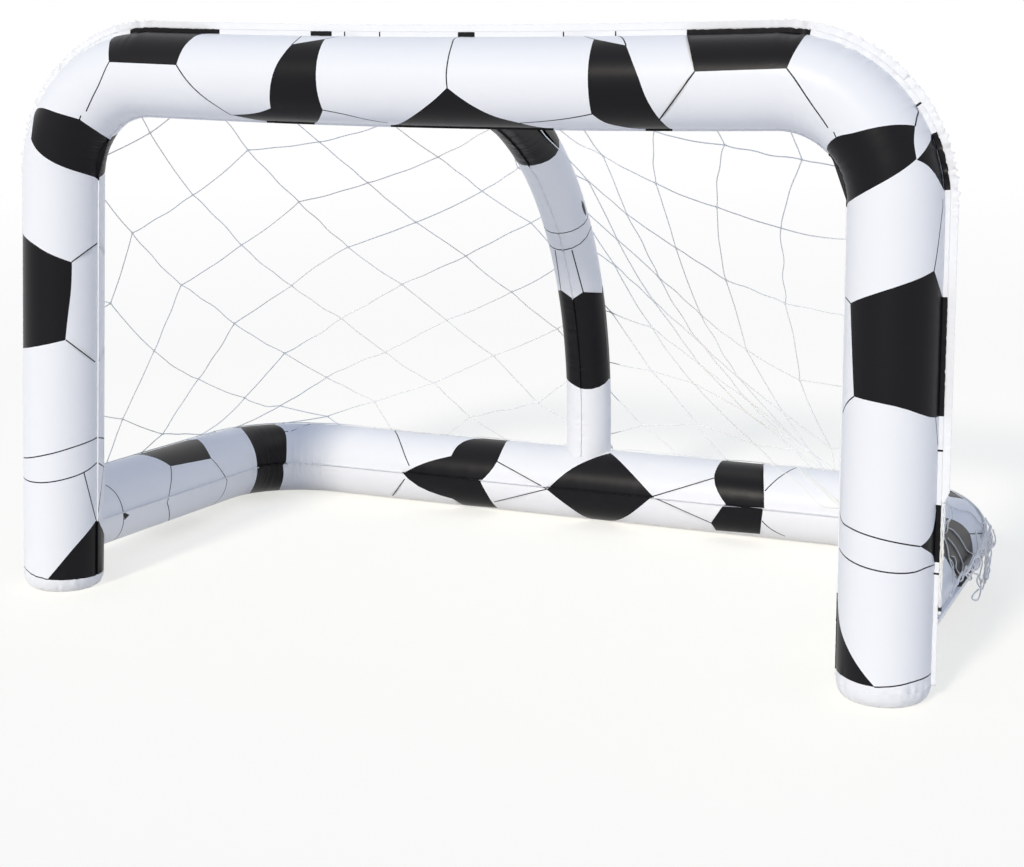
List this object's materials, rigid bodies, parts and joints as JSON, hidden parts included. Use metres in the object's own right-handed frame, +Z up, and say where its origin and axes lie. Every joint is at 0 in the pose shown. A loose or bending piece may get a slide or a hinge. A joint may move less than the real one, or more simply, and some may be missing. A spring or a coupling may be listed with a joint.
{
  "type": "inflatable soccer goal",
  "caption": "Inflatable play goal: tube arch on two feet, U-shaped floor tube, curved rear brace, knotted net over the back and sides, push-in air valves.",
  "frame": {"origin": "on the floor under the middle of the bounding box", "axes": "+X to the right seen from the front, +Y to the rear, +Z up; the mouth faces -Y"},
  "size_m": [2.2176, 1.1636, 1.3318],
  "materials": {
    "printed_vinyl": "soft-sheen white vinyl printed with black patches and thin black lines",
    "white_vinyl": "plain white vinyl",
    "net_tape": "matt white woven band",
    "net_cord": "matt white twisted cord",
    "valve_vinyl": "cloudy clear soft vinyl",
    "black_tie": "plain black"
  },
  "bodies": {
    "goal": {"arch_front_sheet": "printed_vinyl", "arch_rear_sheet": "printed_vinyl", "base_top_sheet": "printed_vinyl", "base_bottom_sheet": "printed_vinyl", "brace_left_sheet": "printed_vinyl", "brace_right_sheet": "printed_vinyl", "foot_disc_left": "white_vinyl", "foot_disc_right": "white_vinyl", "net_tape_left": "net_tape", "net_tape_top": "net_tape", "net_tape_right": "net_tape", "net": "net_cord", "net_tail_left": "net_cord", "net_tail_right": "net_cord", "net_gather_left": "net_cord", "net_gather_right": "net_cord", "tail_tie_left": "black_tie", "tail_tie_right": "black_tie", "arch_valve_seat": "valve_vinyl", "base_valve_seat": "valve_vinyl", "brace_valve_seat": "valve_vinyl"},
    "arch_valve_stem": {"arch_valve_stem": "valve_vinyl", "arch_valve_strap": "valve_vinyl"},
    "arch_valve_flap": {"arch_valve_flap": "valve_vinyl"},
    "arch_valve_plug": {"arch_valve_plug": "white_vinyl"},
    "base_valve_stem": {"base_valve_stem": "valve_vinyl", "base_valve_strap": "valve_vinyl"},
    "base_valve_flap": {"base_valve_flap": "valve_vinyl"},
    "base_valve_plug": {"base_valve_plug": "white_vinyl"},
    "brace_valve_stem": {"brace_valve_stem": "valve_vinyl", "brace_valve_strap": "valve_vinyl"},
    "brace_valve_flap": {"brace_valve_flap": "valve_vinyl"},
    "brace_valve_plug": {"brace_valve_plug": "white_vinyl"}
  },
  "joints": [
    {"name": "arch_valve_stem_slide", "type": "slide", "parent": "goal", "child": "arch_valve_stem", "axis": [0, 0.9974, -0.0724], "range_m": [0, 0.01]},
    {"name": "arch_valve_flap_hinge", "type": "hinge", "parent": "arch_valve_stem", "child": "arch_valve_flap", "pos_m": [0.97764, -0.36701, 0.60831], "axis": [0.9998, 0.0013, 0.0184], "range_deg": [0, 60]},
    {"name": "arch_valve_plug_slide", "type": "slide", "parent": "arch_valve_stem", "child": "arch_valve_plug", "axis": [0, 0.9974, -0.0724], "range_m": [0, 0.009], "deforming": ["arch_valve_strap"]},
    {"name": "base_valve_stem_slide", "type": "slide", "parent": "goal", "child": "base_valve_stem", "axis": [0, 0.9373, 0.3484], "range_m": [0, 0.01]},
    {"name": "base_valve_flap_hinge", "type": "hinge", "parent": "base_valve_stem", "child": "base_valve_flap", "pos_m": [0.45431, 0.55478, 0.11929], "axis": [0, -0.3484, 0.9373], "range_deg": [0, 60]},
    {"name": "base_valve_plug_slide", "type": "slide", "parent": "base_valve_stem", "child": "base_valve_plug", "axis": [0, 0.9373, 0.3484], "range_m": [0, 0.009], "deforming": ["base_valve_strap"]},
    {"name": "brace_valve_stem_slide", "type": "slide", "parent": "goal", "child": "brace_valve_stem", "axis": [-0.9806, 0.1922, 0.0382], "range_m": [0, 0.01]},
    {"name": "brace_valve_flap_hinge", "type": "hinge", "parent": "brace_valve_stem", "child": "brace_valve_flap", "pos_m": [-0.04304, 0.47464, 0.47861], "axis": [-0.196, -0.9618, -0.1914], "range_deg": [0, 60]},
    {"name": "brace_valve_plug_slide", "type": "slide", "parent": "brace_valve_stem", "child": "brace_valve_plug", "axis": [-0.9806, 0.1922, 0.0382], "range_m": [0, 0.009], "deforming": ["brace_valve_strap"]}
  ]
}
